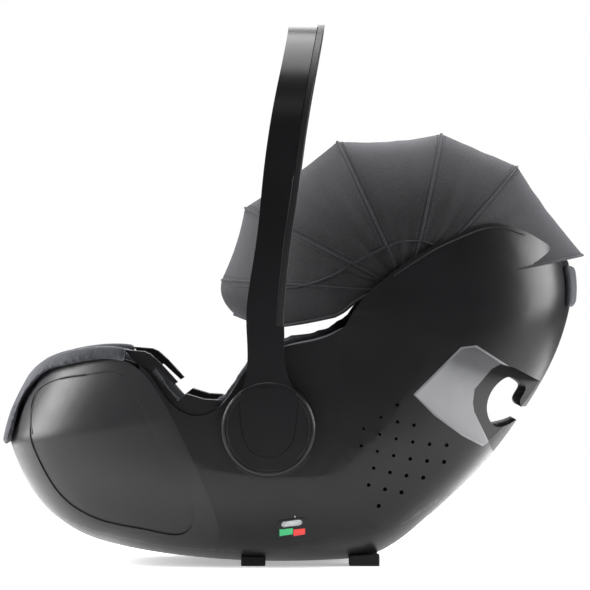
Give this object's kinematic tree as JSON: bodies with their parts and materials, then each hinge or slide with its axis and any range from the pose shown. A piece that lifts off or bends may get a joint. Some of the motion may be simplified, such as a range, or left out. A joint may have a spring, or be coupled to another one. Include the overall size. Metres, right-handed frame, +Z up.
{
  "type": "infant car seat",
  "caption": "Rear-facing infant carrier seat with a turning carry handle, folding canopy, sliding headrest, harness and belt guides.",
  "frame": {"origin": "on the ground, under the middle of the bounding box", "axes": "+Z up, +X along the seat from the foot end to the head end, +Y across"},
  "size_m": [0.6706, 0.445, 0.622],
  "materials": {
    "shell_black": "satin, near black",
    "shell_grey": "satin dark grey",
    "inner_plastic": "fine grain",
    "pocket_grey": "satin mid grey",
    "canopy_fabric": "fine woven",
    "cover_fabric": "knitted, padded",
    "foam": "expanded bead foam",
    "webbing": "woven webbing",
    "rubber": "matte",
    "handle_plastic": "satin black",
    "button_red": "gloss",
    "window_clear": "clear",
    "scale_print": "green and red print",
    "bead_grey": "gloss",
    "steel": "brushed"
  },
  "bodies": {
    "shell": {"front_fairing": "shell_grey", "rear_fairing": "shell_black", "lower_shell": "shell_black", "side_pod_left": "shell_black", "side_pod_right": "shell_black", "belt_pocket_left": "pocket_grey", "belt_pocket_right": "pocket_grey", "rear_belt_channel": "inner_plastic", "seat_bucket": "inner_plastic", "foam_liner": "foam", "seat_pad": "cover_fabric", "cover_edge": "cover_fabric", "front_cover_lip": "cover_fabric", "rear_cover_tab": "cover_fabric", "lap_belt_guides": "shell_black", "rubber_feet": "rubber", "level_frames": "inner_plastic", "level_windows": "window_clear", "level_scales": "scale_print", "adjuster_housing": "inner_plastic", "buckle_housing": "inner_plastic", "buckle_tongues": "inner_plastic", "crotch_strap": "webbing", "crotch_pad": "cover_fabric", "shoulder_strap_left": "webbing", "shoulder_strap_right": "webbing", "shoulder_pad_left": "cover_fabric", "shoulder_pad_right": "cover_fabric", "lap_strap_left": "webbing", "lap_strap_right": "webbing", "canopy_pins": "steel", "hub_axles": "steel", "hub_stops": "inner_plastic"},
    "handle": {"handle_bow": "handle_plastic", "handle_rear_trim": "handle_plastic", "handle_grip": "rubber"},
    "handle_button_left": {"handle_button_left": "handle_plastic"},
    "handle_button_right": {"handle_button_right": "handle_plastic"},
    "headrest": {"headrest_shell": "inner_plastic", "headrest_pad": "cover_fabric", "headrest_pull": "inner_plastic"},
    "hoop_rear": {"hoop_rear": "inner_plastic", "canopy_panel_rear": "canopy_fabric"},
    "hoop_fourth": {"hoop_fourth": "inner_plastic", "canopy_panel_fourth": "canopy_fabric"},
    "hoop_third": {"hoop_third": "inner_plastic", "canopy_panel_third": "canopy_fabric"},
    "hoop_second": {"hoop_second": "inner_plastic", "canopy_panel_second": "canopy_fabric"},
    "hoop_front": {"hoop_front": "inner_plastic", "canopy_panel_front": "canopy_fabric", "canopy_hem": "canopy_fabric"},
    "buckle_button": {"buckle_button": "button_red"},
    "adjuster_button": {"adjuster_button": "inner_plastic"},
    "level_bead_left": {"level_bead_left": "bead_grey"},
    "level_bead_right": {"level_bead_right": "bead_grey"}
  },
  "joints": [
    {"name": "handle_turn", "type": "hinge", "parent": "shell", "child": "handle", "pos_m": [-0.03, 0, 0.16], "axis": [0, 1, 0], "range_deg": [0, 95]},
    {"name": "handle_button_left_press", "type": "slide", "parent": "handle", "child": "handle_button_left", "axis": [0, 1, 0], "range_m": [0, 0.0025], "stiffness_N_per_m": 800, "springref_m": -0.0005},
    {"name": "handle_button_right_press", "type": "slide", "parent": "handle", "child": "handle_button_right", "axis": [0, -1, 0], "range_m": [0, 0.0025], "stiffness_N_per_m": 800, "springref_m": -0.0005},
    {"name": "headrest_slide", "type": "slide", "parent": "shell", "child": "headrest", "axis": [0.542, 0, 0.8404], "range_m": [0, 0.08], "deforming": ["shoulder_strap_left", "shoulder_strap_right", "shoulder_pad_left", "shoulder_pad_right"]},
    {"name": "canopy_fold", "type": "hinge", "parent": "shell", "child": "hoop_rear", "pos_m": [0.128, 0, 0.3136], "axis": [0, 1, 0], "range_deg": [0, 26], "deforming": ["canopy_panel_rear", "canopy_panel_fourth", "canopy_panel_third", "canopy_panel_second", "canopy_panel_front"]},
    {"name": "hoop_fourth_fold", "type": "hinge", "parent": "hoop_rear", "child": "hoop_fourth", "pos_m": [0.128, 0, 0.3136], "axis": [0, 1, 0], "range_deg": [0, 20.5], "deforming": ["canopy_panel_rear", "canopy_panel_fourth", "canopy_panel_third", "canopy_panel_second", "canopy_panel_front"]},
    {"name": "hoop_third_fold", "type": "hinge", "parent": "hoop_fourth", "child": "hoop_third", "pos_m": [0.128, 0, 0.3136], "axis": [0, 1, 0], "range_deg": [0, 28.6], "deforming": ["canopy_panel_rear", "canopy_panel_fourth", "canopy_panel_third", "canopy_panel_second", "canopy_panel_front"]},
    {"name": "hoop_second_fold", "type": "hinge", "parent": "hoop_third", "child": "hoop_second", "pos_m": [0.128, 0, 0.3136], "axis": [0, 1, 0], "range_deg": [0, 29.4], "deforming": ["canopy_panel_rear", "canopy_panel_fourth", "canopy_panel_third", "canopy_panel_second", "canopy_panel_front"]},
    {"name": "hoop_front_fold", "type": "hinge", "parent": "hoop_second", "child": "hoop_front", "pos_m": [0.128, 0, 0.3136], "axis": [0, 1, 0], "range_deg": [0, 15.8], "deforming": ["canopy_panel_rear", "canopy_panel_fourth", "canopy_panel_third", "canopy_panel_second", "canopy_panel_front"]},
    {"name": "buckle_press", "type": "slide", "parent": "shell", "child": "buckle_button", "axis": [0.788, 0, -0.6157], "range_m": [0, 0.003], "stiffness_N_per_m": 900, "springref_m": -0.0005},
    {"name": "adjuster_press", "type": "slide", "parent": "shell", "child": "adjuster_button", "axis": [-0.7006, 0, -0.7136], "range_m": [0, 0.003], "stiffness_N_per_m": 900, "springref_m": -0.0005},
    {"name": "level_left_swing", "type": "hinge", "parent": "shell", "child": "level_bead_left", "pos_m": [-0.0036, 0, 0.1115], "axis": [0, 1, 0], "range_deg": [-4, 4]},
    {"name": "level_right_swing", "type": "hinge", "parent": "shell", "child": "level_bead_right", "pos_m": [-0.0036, 0, 0.1115], "axis": [0, 1, 0], "range_deg": [-4, 4]}
  ],
  "couplings": [
    {"joint": "hoop_fourth_fold", "follows": "canopy_fold", "ratio": 0.788},
    {"joint": "hoop_third_fold", "follows": "canopy_fold", "ratio": 1.0995},
    {"joint": "hoop_second_fold", "follows": "canopy_fold", "ratio": 1.1303},
    {"joint": "hoop_front_fold", "follows": "canopy_fold", "ratio": 0.6072}
  ]
}
